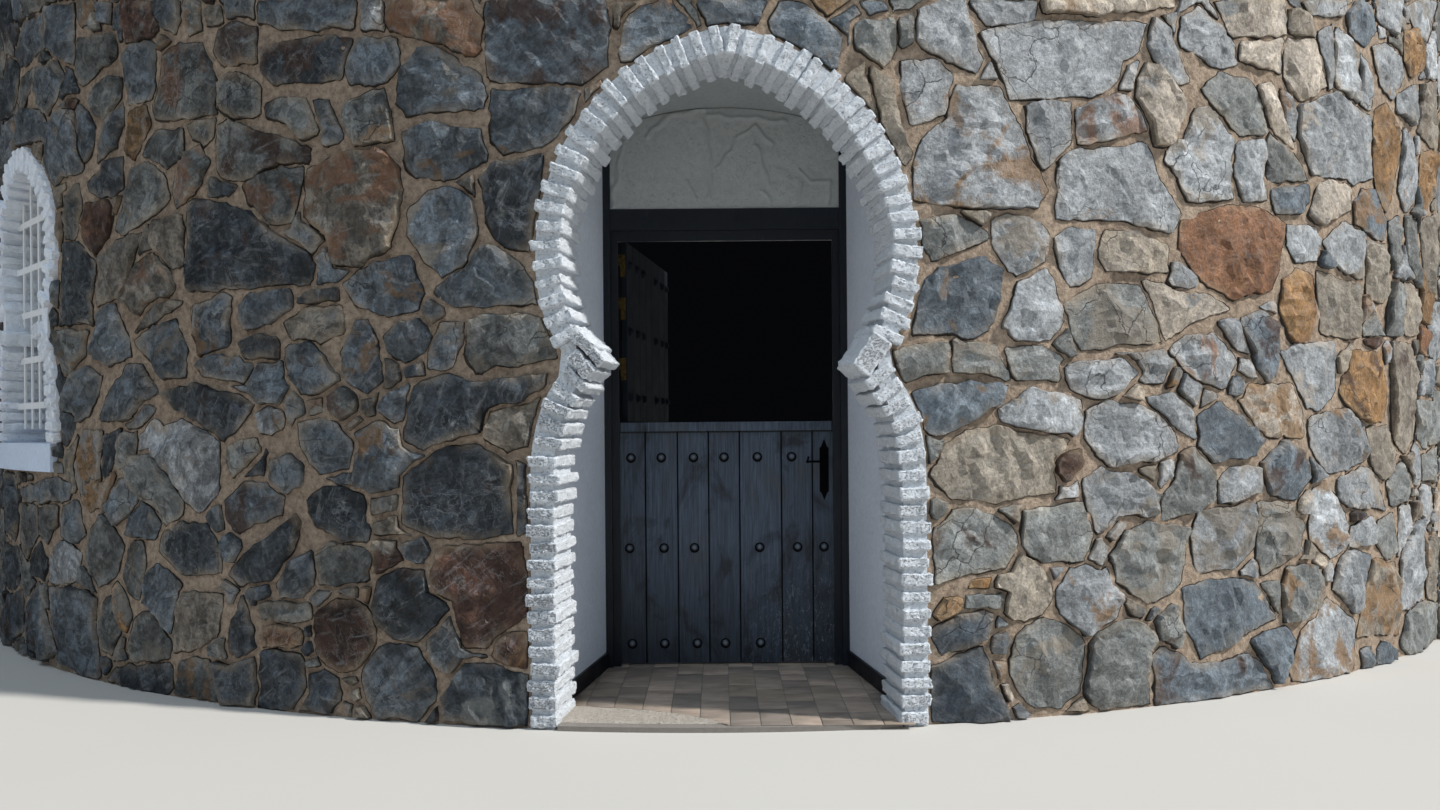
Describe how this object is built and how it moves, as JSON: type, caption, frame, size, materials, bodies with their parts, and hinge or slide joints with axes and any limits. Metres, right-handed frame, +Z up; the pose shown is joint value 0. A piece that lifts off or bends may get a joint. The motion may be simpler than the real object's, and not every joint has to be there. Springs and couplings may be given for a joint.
{
  "type": "keyhole doorway with half door in a round stone tower wall",
  "caption": "Keyhole doorway with a ring of white bricks, deep plastered recess and two-part timber door, in a stretch of round rubble tower wall with a matching barred window.",
  "frame": {"origin": "middle of the doorway at ground level, on the underside of the tiled floor, in the plane of the closed door's outer face", "axes": "+X to the right as seen from outside, +Y from outside into the building, +Z up"},
  "size_m": [9.0996, 3.2344, 3.85],
  "materials": {
    "stone_wall": "rough slate rubble in sandy mortar",
    "white_brick": "rough bricks under matt white paint",
    "plaster": "hand-laid plaster under matt white paint",
    "floor_tile": "small stone-look floor tiles, matt",
    "dark_skirting": "dark skirting, satin",
    "black_frame": "timber under black paint, satin",
    "dark_boards": "timber under charcoal paint, worn satin",
    "black_iron": "black forged iron",
    "brass": "dull brass",
    "white_iron": "white painted flat bar",
    "window_timber": "dark stained timber",
    "window_glass": "clear window glass"
  },
  "bodies": {
    "root": {"wall_left_end": "stone_wall", "wall_below_window": "stone_wall", "window_side_left": "stone_wall", "window_side_right": "stone_wall", "wall_over_window": "stone_wall", "wall_left": "stone_wall", "gate_pier_left": "stone_wall", "gate_pier_right": "stone_wall", "spandrel_left": "stone_wall", "spandrel_right": "stone_wall", "wall_over_gate": "stone_wall", "wall_right": "stone_wall", "wall_right_end": "stone_wall", "ring_jamb_left": "white_brick", "ring_jamb_right": "white_brick", "ring_lower_left": "white_brick", "ring_lower_right": "white_brick", "ring_cusp_left": "white_brick", "ring_cusp_right": "white_brick", "ring_upper_left": "white_brick", "ring_upper_right": "white_brick", "threshold_floor": "floor_tile", "reveal_left": "plaster", "reveal_right": "plaster", "doorway_vault": "plaster", "tympanum": "plaster", "skirting": "dark_skirting", "frame_post_left": "black_frame", "frame_post_right": "black_frame", "transom_beam": "black_frame", "door_jamb_left": "dark_boards", "door_jamb_right": "dark_boards", "door_head": "dark_boards", "frame_hinges": "brass", "window_ring": "white_brick", "window_sill": "plaster", "window_grille": "white_iron", "window_frame": "window_timber", "window_glass": "window_glass"},
    "lower_door": {"lower_leaf": "dark_boards", "cap_rail": "dark_boards", "handle_plate": "black_iron", "lower_hinges": "brass"},
    "upper_door": {"upper_leaf": "dark_boards", "upper_hinges": "brass"},
    "lever": {"handle_lever": "black_iron"}
  },
  "joints": [
    {"name": "lower_door_hinge", "type": "hinge", "parent": "root", "child": "lower_door", "pos_m": [-0.537, 0.053, 0.6], "axis": [0, 0, 1], "range_deg": [0, 95]},
    {"name": "upper_door_hinge", "type": "hinge", "parent": "root", "child": "upper_door", "pos_m": [-0.537, 0.053, 1.65], "axis": [0, 0, 1], "range_deg": [-82, 13]},
    {"name": "lever_turn", "type": "hinge", "parent": "lower_door", "child": "lever", "pos_m": [0.477, 0, 1.009], "axis": [0, -1, 0], "range_deg": [0, 35], "stiffness_Nm_per_rad": 0.6}
  ]
}
